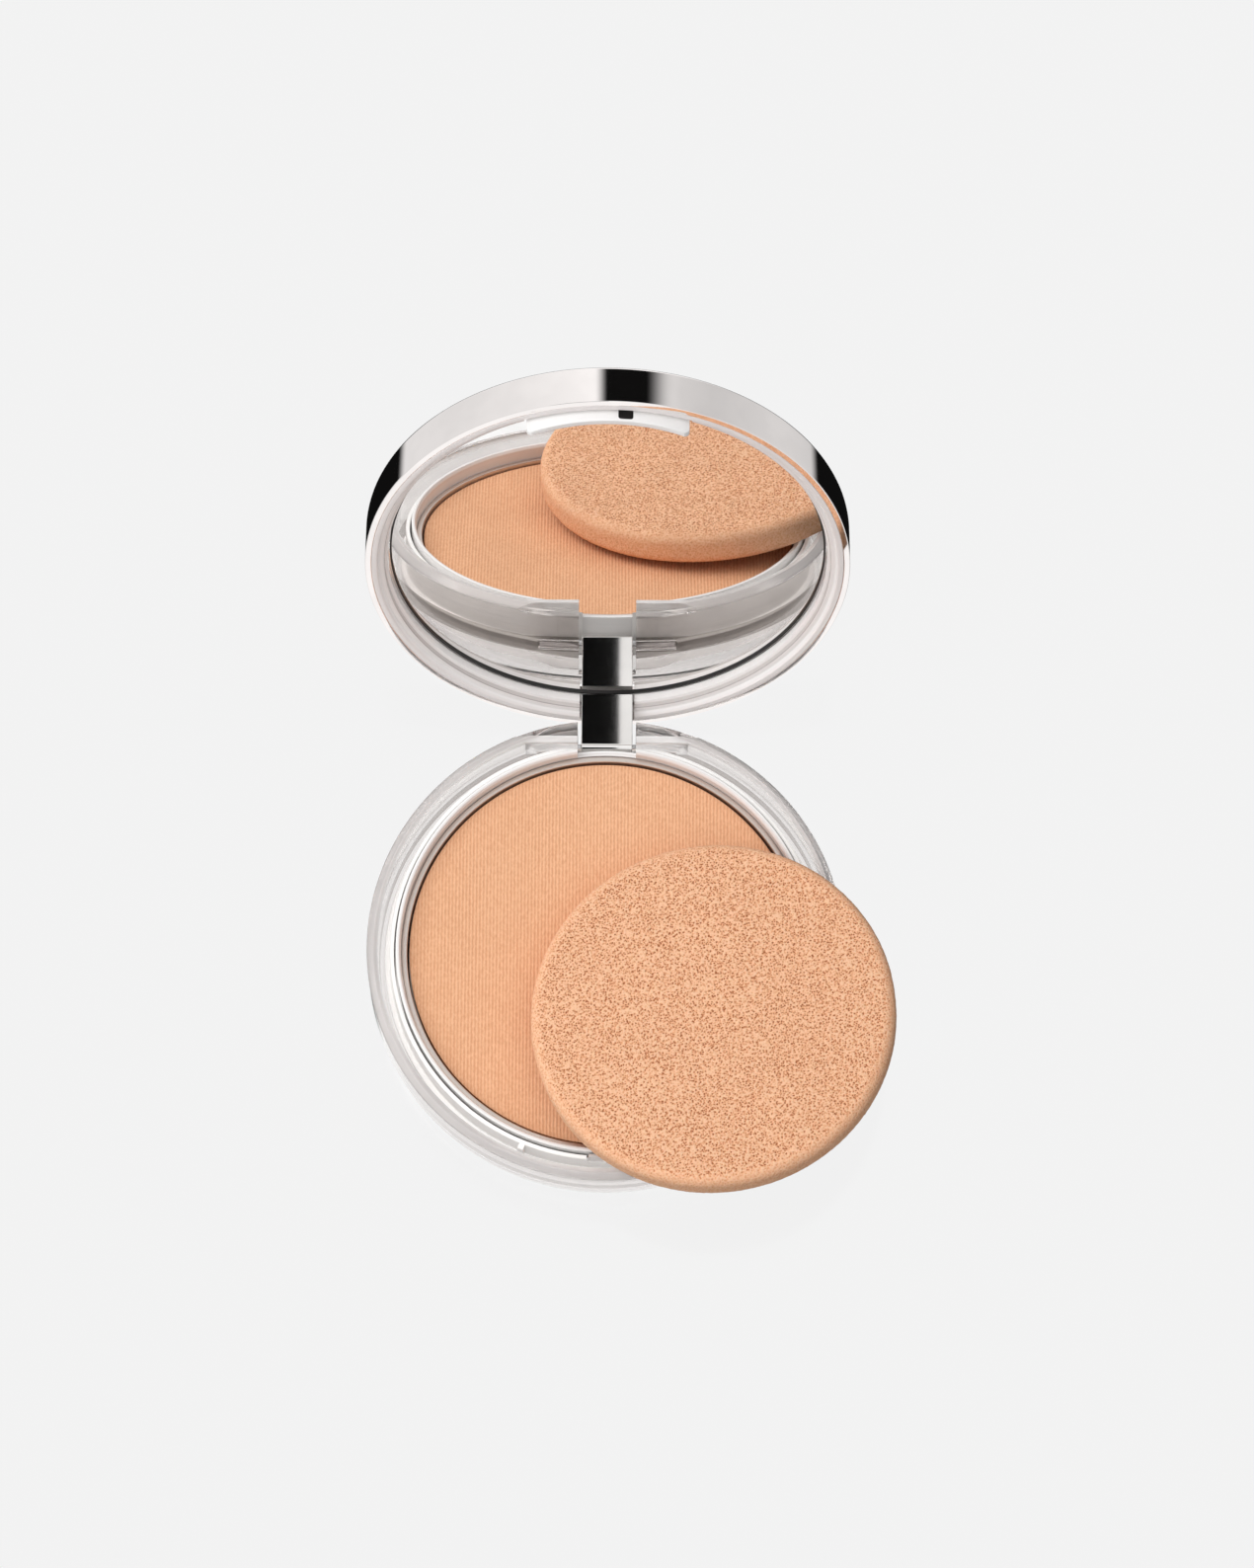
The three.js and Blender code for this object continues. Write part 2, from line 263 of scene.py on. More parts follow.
def bar_along_x(name, outline, x0, x1, bevel=0.0):
    """Extrudes an outline of (y, z) points along X."""
    bm = bmesh.new()
    near = [bm.verts.new((x0 * MM, y * MM, z * MM)) for y, z in outline]
    far = [bm.verts.new((x1 * MM, y * MM, z * MM)) for y, z in outline]
    bm.faces.new(near)
    bm.faces.new(list(reversed(far)))
    for i in range(len(outline)):
        j = (i + 1) % len(outline)
        bm.faces.new([near[i], near[j], far[j], far[i]])
    if bevel:
        rims = [e for e in bm.edges if abs(e.verts[0].co.x - e.verts[1].co.x) < 1e-9]
        bmesh.ops.bevel(bm, geom=rims, offset=bevel * MM, segments=3, profile=0.5, affect="EDGES")
    return from_bmesh(name, bm)


def combine(obj, other, operation):
    """Joins, cuts or keeps the common part of two objects, and removes the second."""
    modifier = obj.modifiers.new("combine", "BOOLEAN")
    modifier.operation = operation
    modifier.solver = "EXACT"
    modifier.object = other
    bpy.context.view_layer.update()
    made = bpy.data.meshes.new_from_object(obj.evaluated_get(bpy.context.evaluated_depsgraph_get()))
    obj.modifiers.clear()
    old, obj.data = obj.data, made
    made.name = old.name + "_solid"
    bpy.data.meshes.remove(old)
    bpy.data.objects.remove(other)
    resharpen(obj)
    return obj


def resharpen(obj, angle=SHARP):
    bm = bmesh.new()
    bm.from_mesh(obj.data)
    bmesh.ops.dissolve_degenerate(bm, dist=1e-6, edges=bm.edges)
    for face in bm.faces:
        face.smooth = True
    for edge in bm.edges:
        edge.smooth = len(edge.link_faces) == 2 and edge.calc_face_angle(0) < angle
    bm.to_mesh(obj.data)
    bm.free()


def carve(obj, *cutters):
    for cutter in cutters:
        combine(obj, cutter, "DIFFERENCE")
    return obj


# ---- Material helpers ----


class Shader:
    """A Principled material with a few short ways to build its node network.

    Patterns follow the coordinates a piece was drawn in, or the object's own for a CAD node.
    """

    def __init__(self, name, color, roughness, on_cad=False, **sockets):
        self.material = bpy.data.materials.new(name)
        self.material.use_nodes = True
        self.tree = self.material.node_tree
        self.bsdf = next(n for n in self.tree.nodes if n.type == "BSDF_PRINCIPLED")
        self.set("Base Color", (*color, 1))
        self.set("Roughness", roughness)
        for socket, value in sockets.items():
            self.set(socket.replace("_", " "), value)
        if on_cad:
            own = self.node("ShaderNodeTexCoord").outputs["Object"]
            scaled = {0: own, "Scale": 1 / MM}
            self.drawn = self.node("ShaderNodeVectorMath", scaled, operation="SCALE").outputs[0]
        else:
            self.drawn = self.node("ShaderNodeAttribute", attribute_name="drawn").outputs["Vector"]

    def set(self, socket, value):
        self.bsdf.inputs[socket].default_value = value

    def node(self, kind, inputs=None, **settings):
        made = self.tree.nodes.new(kind)
        for key, value in settings.items():
            setattr(made, key, value)
        for key, value in (inputs or {}).items():
            if isinstance(value, bpy.types.NodeSocket):
                self.tree.links.new(value, made.inputs[key])
            else:
                made.inputs[key].default_value = value
        return made

    def link(self, output, socket):
        self.tree.links.new(output, self.bsdf.inputs[socket])

    def place(self, stretch=(1, 1, 1)):
        """The piece's coordinates in millimetres, stretched."""
        return self.node("ShaderNodeMapping", {"Vector": self.drawn, "Scale": stretch}).outputs[0]

    def noise(self, scale, detail=3, stretch=(1, 1, 1), rough=0.5, at=None):
        where = at or self.place(stretch)
        inputs = {"Vector": where, "Scale": scale, "Detail": detail, "Roughness": rough}
        return self.node("ShaderNodeTexNoise", inputs).outputs[0]

    def axis(self, letter):
        return self.node("ShaderNodeSeparateXYZ", {"Vector": self.drawn}).outputs[letter]

    def streaks(self, scale):
        """Noise in rings about the Z axis, that drifts slowly on its way round."""
        where = self.node(
            "ShaderNodeCombineXYZ",
            {
                "X": self.radius(),
                "Y": self.math("MULTIPLY", self.axis("X"), 0.02),
                "Z": self.math("MULTIPLY", self.axis("Z"), 0.3),
            },
        ).outputs[0]
        return self.noise(scale, 3, at=where)

    def ramp(self, factor, *stops):
        made = self.node("ShaderNodeValToRGB", {"Fac": factor})
        elements = made.color_ramp.elements
        while len(elements) < len(stops):
            elements.new(0.5)
        for element, (position, color) in zip(elements, stops):
            element.position = position
            element.color = (*color, 1) if len(color) == 3 else color
        return made.outputs[0]

    def math(self, operation, a, b=0.0):
        return self.node("ShaderNodeMath", {0: a, 1: b}, operation=operation).outputs[0]

    def mix(self, factor, a, b, blend="MIX"):
        made = self.node("ShaderNodeMix", data_type="RGBA", blend_type=blend)
        for index, value in ((0, factor), (6, a), (7, b)):
            if isinstance(value, bpy.types.NodeSocket):
                self.tree.links.new(value, made.inputs[index])
            elif index == 0:
                made.inputs[0].default_value = value
            else:
                made.inputs[index].default_value = (*value, 1)
        return made.outputs[2]

    def radius(self):
        """Distance from the Z axis in millimetres."""
        flat = self.node("ShaderNodeVectorMath", {0: self.place((1, 1, 0))}, operation="LENGTH")
        return flat.outputs["Value"]

    def bump(self, height, distance, strength=1.0):
        inputs = {"Height": height, "Distance": distance * MM, "Strength": strength}
        made = self.node("ShaderNodeBump", inputs)
        self.link(made.outputs[0], "Normal")
        return made


def tone(red, green, blue):
    """Scene-linear colour from 0 to 255 display values."""
    return tuple(
        (c / 255) / 12.92 if c < 10.4 else (((c / 255) + 0.055) / 1.055) ** 2.4 for c in (red, green, blue)
    )


def clear_plastic(name, bands, clarity, roughness=0.05, streak=0.04, edge=(1, 1, 1), glow=0.0, gap_shade=None):
    """Clear plastic, toned in rings given as (radius, colour) stops, and darkened by painted shade where it
    is seen edge on.

    The clarity is one number, or the two heights between which it falls and its values below and above.
    A painted shade line darkens the gap where the wall's inner face meets the floor; the last argument gives
    its radius, low and high height.
    """
    shader = Shader(name, bands[-1][1], roughness, IOR=1.33)
    if isinstance(clarity, tuple):
        keys = ("From Min", "From Max", "To Min", "To Max")
        inputs = {"Value": shader.axis("Z")} | dict(zip(keys, clarity))
        shader.link(shader.node("ShaderNodeMapRange", inputs).outputs[0], "Transmission Weight")
    else:
        shader.set("Transmission Weight", clarity)
    # The glow is painted light: an emission standing in for light led through the clear plastic.
    shader.set("Emission Color", (1, 0.96, 0.95, 1))
    shader.set("Emission Strength", glow)
    inner, outer = bands[0][0], bands[-1][0]
    inputs = {"Value": shader.radius(), "From Min": inner, "From Max": outer}
    across = shader.node("ShaderNodeMapRange", inputs).outputs[0]
    stops = [((r - inner) / (outer - inner), color) for r, color in bands]
    rings = shader.streaks(3.5)
    low, high = (1 - streak,) * 3, (1 + streak,) * 3
    fine = shader.ramp(rings, (0.3, low), (0.7, high))
    # Painted shade: the colour darkens where the surface is seen edge on.
    facing = shader.node("ShaderNodeLayerWeight", {"Blend": 0.5}).outputs["Facing"]
    outline = shader.ramp(facing, (0.72, (1, 1, 1)), (0.97, edge))
    toned = shader.mix(1.0, shader.ramp(across, *stops), fine, "MULTIPLY")
    # Painted shade: a dark line on the wall's inner face, in the gap above the groove's floor.
    if gap_shade:
        within = shader.math("LESS_THAN", shader.radius(), gap_shade[0])
        above = shader.math("GREATER_THAN", shader.axis("Z"), gap_shade[1])
        under = shader.math("LESS_THAN", shader.axis("Z"), gap_shade[2])
        line = shader.math("MULTIPLY", within, shader.math("MULTIPLY", above, under))
        toned = shader.mix(line, toned, PAINTED_SHADE)
    shader.link(shader.mix(1.0, toned, outline, "MULTIPLY"), "Base Color")
    shader.bump(rings, 0.02, 0.2)
    return shader.material


def polished_metal(name, color, roughness, scratch=0.04):
    shader = Shader(name, color, roughness, Metallic=1.0)
    fine = shader.noise(6, 4, (1, 1, 6))
    low, high = max(0.0, roughness - scratch), roughness + scratch
    shader.link(shader.ramp(fine, (0.3, (low,) * 3), (0.7, (high,) * 3)), "Roughness")
    dust = shader.noise(0.15, 2)
    dull = tuple(c * 0.96 for c in color)
    shader.link(shader.ramp(dust, (0.4, dull), (0.6, color)), "Base Color")
    return shader.material


def painted(name, color, roughness, grain=3.0, relief=0.01, vary=0.05, on_cad=False, **sockets):
    shader = Shader(name, color, roughness, on_cad, **sockets)
    pattern = shader.noise(grain, 4)
    dull = tuple(c * (1 - vary) for c in color)
    shader.link(shader.ramp(pattern, (0.35, dull), (0.65, color)), "Base Color")
    shader.bump(pattern, relief, 0.6)
    return shader.material


def deck_material():
    """White plastic whose upward faces glow faintly: painted light standing in for the light that the clear
    shell leads in.
    """
    shader = Shader("deck_plastic", tone(249, 248, 246), 0.3)
    shader.set("Emission Color", (1, 0.99, 0.98, 1))
    normal = shader.node("ShaderNodeNewGeometry", {}).outputs["Normal"]
    upward = shader.node("ShaderNodeSeparateXYZ", {"Vector": normal}).outputs["Z"]
    facing_up = shader.ramp(upward, (0.3, (0, 0, 0)), (0.9, (1, 1, 1)))
    inputs = {"Value": shader.axis("Z"), "From Min": LEDGE_Z + 1, "From Max": DECK_Z - 0.5}
    inputs |= {"To Min": 0.34, "To Max": 0.12}
    by_height = shader.node("ShaderNodeMapRange", inputs).outputs[0]
    # Painted light: the glow is strongest low in the groove and fainter towards the top.
    shader.link(shader.math("MULTIPLY", facing_up, by_height), "Emission Strength")
    grain = shader.noise(3, 4)
    shader.link(shader.ramp(grain, (0.35, tone(246, 245, 243)), (0.65, tone(250, 249, 247))), "Base Color")
    shader.bump(grain, 0.01, 0.6)
    return shader.material


def powder_material():
    """Pressed powder: ribs with painted shade in their grooves, crossed by a fine grain."""
    shader = Shader("pressed_powder", tone(233, 174, 134), 0.9, Specular_IOR_Level=0.12)
    # Painted shade: the colour darkens from each rib's crest into its groove.
    turn = shader.math("MULTIPLY", shader.axis("X"), 2 * math.pi / RIB_PITCH)
    rib_shade = shader.math("COSINE", turn)
    grain = shader.noise(2.6, 3, (1.5, 0.7, 1))
    face = shader.math("ADD", shader.math("MULTIPLY", rib_shade, 0.16), grain)
    fine = shader.ramp(
        face,
        (0.3, tone(221, 164, 126)),
        (0.5, tone(232, 178, 139)),
        (0.7, tone(241, 189, 150)),
    )
    soft = shader.ramp(shader.noise(0.05, 2), (0.35, (0.965, 0.96, 0.955)), (0.65, (1, 1, 1)))
    shader.link(shader.mix(1.0, fine, soft, "MULTIPLY"), "Base Color")
    shader.bump(grain, 0.06, 0.6)
    return shader.material


def foam_material(radius, edge):
    """Open foam: pores painted dark as shade between pale cell walls, smoother where the skin turns over the
    edge.
    """
    shader = Shader("foam", tone(226, 167, 127), 0.95, Specular_IOR_Level=0.08)
    shader.set("Subsurface Weight", 0.1)
    shader.set("Subsurface Radius", (1.0, 0.4, 0.2))
    shader.set("Subsurface Scale", 0.5 * MM)
    cell = shader.node("ShaderNodeTexVoronoi", {"Vector": shader.place(), "Scale": 2.7}).outputs["Distance"]
    grain = shader.noise(3.8, 3, rough=0.65)
    mixed = shader.math("ADD", shader.math("MULTIPLY", cell, 0.42), shader.math("MULTIPLY", grain, 0.62))
    inputs = {"Value": shader.radius(), "From Min": radius - edge, "From Max": radius - 0.3 * edge}
    inputs |= {"To Min": 1, "To Max": 0.45}
    skin = shader.node("ShaderNodeMapRange", inputs).outputs[0]
    centred = shader.math("MULTIPLY", shader.math("SUBTRACT", mixed, 0.5), skin)
    level = shader.math("ADD", centred, shader.math("SUBTRACT", 0.56, shader.math("MULTIPLY", skin, 0.06)))
    # Painted shade: the darkest stops colour the pores.
    color = shader.ramp(
        level,
        (0.34, tone(146, 76, 44)),
        (0.42, tone(206, 138, 98)),
        (0.49, tone(237, 176, 136)),
        (0.6, tone(251, 201, 164)),
    )
    shader.link(color, "Base Color")
    shader.bump(level, 0.4, 0.8)
    return shader.material


PALE = (0.86, 0.81, 0.79)
BRIGHT = (0.97, 0.95, 0.94)
WARM = (0.93, 0.88, 0.865)
# Dark tone for painted shade lines.
PAINTED_SHADE = (0.3, 0.27, 0.25)
WALL_BANDS = [(30, BRIGHT), (36.2, BRIGHT), (36.52, PALE), (37.1, WARM), (38, PALE)]
# Radius and heights of the painted shade line in the gap between the wall's inner face and the groove's
# floor.
WALL_GAP_SHADE = (WALL_INNER_R + 0.1, LEDGE_Z - 1.5, LEDGE_Z + 1.2)
CLEAR = clear_plastic("clear_shell", WALL_BANDS, (SHELF_Z, RIM_Z - 0.8, 0.96, 0.45), gap_shade=WALL_GAP_SHADE)
# The bezel's thin dark band at 35.3 mm is a painted shade line on the face of its inner step.
BEZEL_BANDS = [
    (34.7, BRIGHT),
    (35.2, WARM),
    (35.3, PAINTED_SHADE),
    (35.38, WARM),
    (36.2, BRIGHT),
    (36.4, WARM),
    (37.3, WARM),
]
# The bezel's edge colour is painted shade where it is seen edge on, and its glow is painted light standing
# in for light led through the plastic.
BEZEL = clear_plastic("clear_bezel", BEZEL_BANDS, 0.3, edge=(0.7, 0.67, 0.66), glow=0.07)
NEAR_WHITE = (1, 0.99, 0.98)
COLLAR_BANDS = [(32.5, PALE), (32.75, BRIGHT), (33.0, PALE), (33.15, NEAR_WHITE), (33.4, NEAR_WHITE)]
# The collar's edge colour is painted shade where it is seen edge on.
COLLAR = clear_plastic("clear_collar", COLLAR_BANDS, 0.1, 0.2, edge=(0.8, 0.78, 0.77))
CATCH = clear_plastic("clear_catch", [(33.7, PALE), (34.7, BRIGHT)], 0.3)
DECK = deck_material()
WHITE = painted("white_plastic", tone(247, 246, 245), 0.2, vary=0.02)
LINER = painted("liner_plastic", tone(240, 239, 238), 0.4, on_cad=True)
PAN = polished_metal("pan_metal", tone(222, 212, 205), 0.42, 0.08)
PIN = polished_metal("pin_steel", tone(205, 205, 206), 0.22, 0.08)
CHROME = polished_metal("lid_chrome", tone(247, 242, 240), 0.035, 0.02)
STRAP = polished_metal("strap_chrome", tone(240, 238, 236), 0.02, 0.01)
MIRROR = polished_metal("mirror_silver", tone(247, 246, 245), 0.0, 0.0)
GASKET_BLACK_AND_SHADE = painted("gasket_black", tone(26, 24, 23), 0.4)
ADHESIVE = painted("adhesive", tone(226, 222, 212), 0.8, on_cad=True)
LABEL = painted("label_film", tone(240, 240, 238), 0.5)
POWDER = powder_material()


def weigh_normals(obj):
    """Keeps large flat faces flat where they meet a rounding."""
    modifier = obj.modifiers.new("normals", "WEIGHTED_NORMAL")
    modifier.keep_sharp = True
    modifier.weight = 100
    bpy.context.view_layer.update()
    made = bpy.data.meshes.new_from_object(obj.evaluated_get(bpy.context.evaluated_depsgraph_get()))
    obj.modifiers.clear()
    old, obj.data = obj.data, made
    bpy.data.meshes.remove(old)


def remember_drawn(obj):
    """Stores where each vertex was drawn, in millimetres, for the materials to follow."""
    if "drawn" in obj.data.attributes:
        return
    places = np.empty(len(obj.data.vertices) * 3)
    obj.data.vertices.foreach_get("co", places)
    drawn = obj.data.attributes.new("drawn", "FLOAT_VECTOR", "POINT")
    drawn.data.foreach_set("vector", places / MM)


def finished(obj, body, material, slot, *nodes):
    remember_drawn(obj)
    weigh_normals(obj)
    obj.data.materials.clear()
    obj.data.materials.append(material)
    for polygon in obj.data.polygons:
        polygon.material_index = 0
    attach(obj, body)
    if nodes:
        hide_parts(*nodes)
    return obj


def lid_piece(obj, material, slot, *nodes):
    remember_drawn(obj)
    obj.data.transform(TO_OPEN)
    return finished(obj, "lid", material, slot, *nodes)


# ---- Base ----


def outer_outline():
    edge = RIM_Z - EDGE_DROP
    crown = [(BASE_R, 12), (BASE_R, edge, 0.3), (BASE_R - 1.05, RIM_Z, 0.2), (30, RIM_Z)]
    return [
        (0, 0.7),
        (25, 0.7),
        (25, 0),
        *quarter((FOOT_R, 7.5), (BASE_R - FOOT_R, 7.5), -90, 14),
        *fillet(crown)[:-1],
    ]


def shell_outline():
    inside = quarter((29.5, 8), (WALL_INNER_R - 29.5, 5.7), -90, 10)
    return [*outer_outline(), (WALL_INNER_R, RIM_Z), *reversed(inside), (0, 2.3)]


def base_shell():
    """The clear cup, moulded in one with the hinge bearings on either side of the strap's slot."""
    shell = turned("base_shell_clear", shell_outline())
    lump = block("lump", (-NOTCH_HALF, NOTCH_Y + 0.3, 4.5), (NOTCH_HALF, 45, RIM_Z))
    combine(lump, turned("outside", [*outer_outline(), (0, RIM_Z)]), "INTERSECT")
    combine(shell, lump, "UNION")
    carve(
        shell,
        block("cut", (-NOTCH_HALF, HINGE_Y - 0.2, SHELF_Z), (NOTCH_HALF, 45, 25)),
        block("cut", (-SLOT_HALF, NOTCH_Y, 4.2), (SLOT_HALF, 45, 25)),
        rod("cut", 0.9, -11.3, 11.3),
    )
    nodes = ("base_shell", "hinge_bearing_left", "hinge_bearing_right")
    return finished(shell, "base", CLEAR, "clear_plastic", *nodes)


def base_deck():
    """The white tray: the powder's well, the wall round it, and the groove that takes the lid's latch."""
    corners = [
        (0, DECK_BOTTOM),
        (WELL_OUTER_R, DECK_BOTTOM, 0.4),
        (WELL_OUTER_R, LEDGE_Z - 1, 0.2),
        (DECK_R, LEDGE_Z - 1, 0.1),
        (DECK_R, LEDGE_Z, 0.15),
        (WELL_OUTER_R, LEDGE_Z, 0.3),
        (WELL_OUTER_R, DECK_Z, 0.25),
        (WELL_INNER_R, DECK_Z, 0.15),
        (WELL_INNER_R, DECK_BOTTOM + 1, 0.3),
        (0, DECK_BOTTOM + 1),
    ]
    deck = turned("base_deck_moulding", fillet(corners))
    half = math.degrees(math.asin(POCKET_HALF / DECK_R))
    post = math.degrees(POST_THICKNESS / DECK_R)
    carve(
        deck,
        block("cut", (-2.8, -36, box_mm("latch_catch")[0].z - 0.3), (2.8, -33, 20)),
        block("cut", (-14.3, NOTCH_Y, 0), (14.3, 45, 20)),
    )
    inner, low, top = WELL_OUTER_R - 0.3, LEDGE_Z - 0.3, DECK_Z - 0.02
    wall = fillet([(inner, low), (DECK_R - 0.02, low), (DECK_R - 0.02, top, 0.15), (inner, top, 0.15)])
    for sign in (-1, 1):
        start = -90 + sign * (half + post / 2) - post / 2
        combine(deck, turned("wall", wall, start, start + post, 720), "UNION")
    return finished(deck, "base", DECK, "deck_plastic", "base_deck")


def latch_catch():
    low, high = box_mm("latch_catch")
    outline = [
        (33.75, low.z),
        (34.2, low.z),
        (34.5, low.z + 1, 0.1),
        (34.5, high.z - 0.9, 0.1),
        (34.2, high.z, 0.15),
        (33.75, high.z, 0.1),
    ]
    half = math.degrees(math.asin(high.x / 34.2))
    nose = turned("latch_catch_nose", fillet(outline), -90 - half, -90 + half, 720)
    return finished(nose, "base", CATCH, "collar_plastic", "latch_catch")


def pan_collar():
    inner = 32.6
    outline = fillet(
        [
            (inner, COLLAR_BOTTOM),
            (COLLAR_R, COLLAR_BOTTOM),
            (COLLAR_R, COLLAR_TOP, 0.15),
            (inner + 0.25, COLLAR_TOP, 0.1),
            (inner, COLLAR_TOP - 0.5, 0.1),
        ]
    )
    ring = turned("pan_collar_ring", outline)
    carve(ring, block("cut", (-SLOT_HALF, 20, 12.9), (SLOT_HALF, 40, 20)))
    return finished(ring, "base", COLLAR, "collar_plastic", "pan_collar")


def powder_pan():
    inner = 31.66
    corners = [
        (0, PAN_BOTTOM),
        (PAN_R - 0.2, PAN_BOTTOM, 0.15),
        (PAN_R, PAN_BOTTOM + 0.4, 0.1),
        (PAN_R, PAN_TOP - 0.3),
        (PAN_R + 0.24, PAN_TOP - 0.25),
        (PAN_R + 0.24, PAN_TOP, 0.15),
        (inner, PAN_TOP, 0.2),
        (inner, PAN_BOTTOM + 0.5, 0.2),
        (0, PAN_BOTTOM + 0.5),
    ]
    return finished(turned("powder_pan_dish", fillet(corners)), "base", PAN, "pan_metal", "powder_pan")


def pressed_powder():
    """The cake, with a face of fine straight ribs that run front to back."""
    bottom = box_mm("pressed_powder")[0].z
    radius = POWDER_R - 0.02
    per_rib, rows = 6, 90
    columns = round(2 * radius / RIB_PITCH) * per_rib
    bm = bmesh.new()
    face = []
    for i in range(columns + 1):
        x = -radius + 2 * radius * i / columns
        reach = math.sqrt(max(0, radius**2 - x**2))
        line = []
        for j in range(rows + 1):
            y = reach * (-1 + 2 * j / rows)
            edge = min(1, (radius - math.hypot(x, y)) / 0.5)
            waver = noise.noise(Vector((x * 0.9, y * 1.6, 0)))
            rib = 0.035 * math.cos(2 * math.pi * (x + 0.02 * waver) / RIB_PITCH)
            height = (rib + 0.016 * waver) * max(0, edge) - 0.16 * (1 - max(0, edge)) ** 2
            line.append(bm.verts.new((x * MM, y * MM, (POWDER_Z - 0.03 + height) * MM)))
        face.append(line)
    for a, b in zip(face, face[1:]):
        for j in range(rows):
            corners = [a[j], b[j], b[j + 1], a[j + 1]]
            bm.faces.new(corners)
    bmesh.ops.remove_doubles(bm, verts=bm.verts, dist=1e-3 * MM)
    border = [e for e in bm.edges if len(e.link_faces) == 1]
    down = bmesh.ops.extrude_edge_only(bm, edges=border)
    low = [v for v in down["geom"] if isinstance(v, bmesh.types.BMVert)]
    for v in low:
        v.co.z = bottom * MM
    rim = [e for e in down["geom"] if isinstance(e, bmesh.types.BMEdge) and len(e.link_faces) == 1]
    bmesh.ops.contextual_create(bm, geom=rim)
    cake = from_bmesh("pressed_powder_cake", bm, math.radians(50))
    return finished(cake, "base", POWDER, "pressed_powder", "pressed_powder")


def rod(name, radius, x0, x1, sides=48):
    outline = [
        (
            HINGE_Y + radius * math.cos(2 * math.pi * i / sides),
            HINGE_Z + radius * math.sin(2 * math.pi * i / sides),
        )
        for i in range(sides)
    ]
    return bar_along_x(name, outline, x0, x1, 0.12)


def hinge_pin(word):
    low, high = box_mm("hinge_pin_" + word)
    pin = rod("hinge_pin_rod_" + word, (high.z - low.z) / 2, low.x, high.x)
    return finished(pin, "base", PIN, "pin_steel", "hinge_pin_" + word)


def base_label():
    low, high = box_mm("base_label")
    corners = [(0, low.z), (high.x, low.z, 0.1), (high.x, high.z, 0.1), (0, high.z)]
    return finished(turned("base_label_film", fillet(corners)), "base", LABEL, "label_film", "base_label")


# ---- Lid, drawn closed ----


def lid_shell():
    inner = LID_R - 1
    corners = [
        (0, LID_TOP - 1),
        (inner, LID_TOP - 1, 0.4),
        (inner, LID_Z, 0.1),
        (LID_R, LID_Z, 0.15),
        (LID_R, LID_TOP, 0.8),
        (30, LID_TOP),
        (0, LID_TOP),
    ]
    shell = turned("lid_shell_chrome", fillet(corners, 6), sides=360)
    return lid_piece(shell, CHROME, "lid_metal", "lid_shell")


def mirror_bezel():
    seat = MIRROR_Z - 0.3
    corners = [
        (36.45, LID_Z, 0.12),
        (BEZEL_R + 0.28, LID_Z, 0.1),
        (BEZEL_R + 0.28, seat),
        (34.75, seat, 0.05),
        (34.75, LID_Z + 1.9, 0.15),
        (35.25, LID_Z + 1.75, 0.15),
        (35.25, LID_Z + 0.9, 0.2),
        (36.05, LID_Z + 0.8, 0.15),
    ]
    ring = turned("mirror_bezel_ring", fillet(corners), sides=360)
    half = math.degrees(math.asin(12.8 / 35))
    carve(
        ring,
        block("cut", (STRAP_LOW.x - 0.3, 33.4, 10), (STRAP_HIGH.x + 0.3, 45, 30)),
        turned("cut", [(34, 10), (36.05, 10), (36.05, 30), (34, 30)], -90 - half, -90 + half),
    )
    return lid_piece(ring, BEZEL, "clear_plastic", "mirror_bezel")


def mirror_glass():
    corners = [(0, MIRROR_Z), (MIRROR_R, MIRROR_Z, 0.08), (MIRROR_R, MIRROR_TOP, 0.1), (0, MIRROR_TOP)]
    disc = turned("mirror_glass_disc", fillet(corners), sides=360)
    return lid_piece(disc, MIRROR, "mirror", "mirror_glass")


def mirror_gasket():
    inner, outer = GASKET_HIGH.x - 0.25, GASKET_HIGH.x + 0.05
    low, high = MIRROR_Z - 0.35, MIRROR_Z - 0.02
    corners = [(inner, low, 0.05), (outer, low, 0.05), (outer, high), (inner, high)]
    line = turned("mirror_gasket_line", fillet(corners), sides=360)
    return lid_piece(line, GASKET_BLACK_AND_SHADE, "gasket_black", "mirror_gasket")


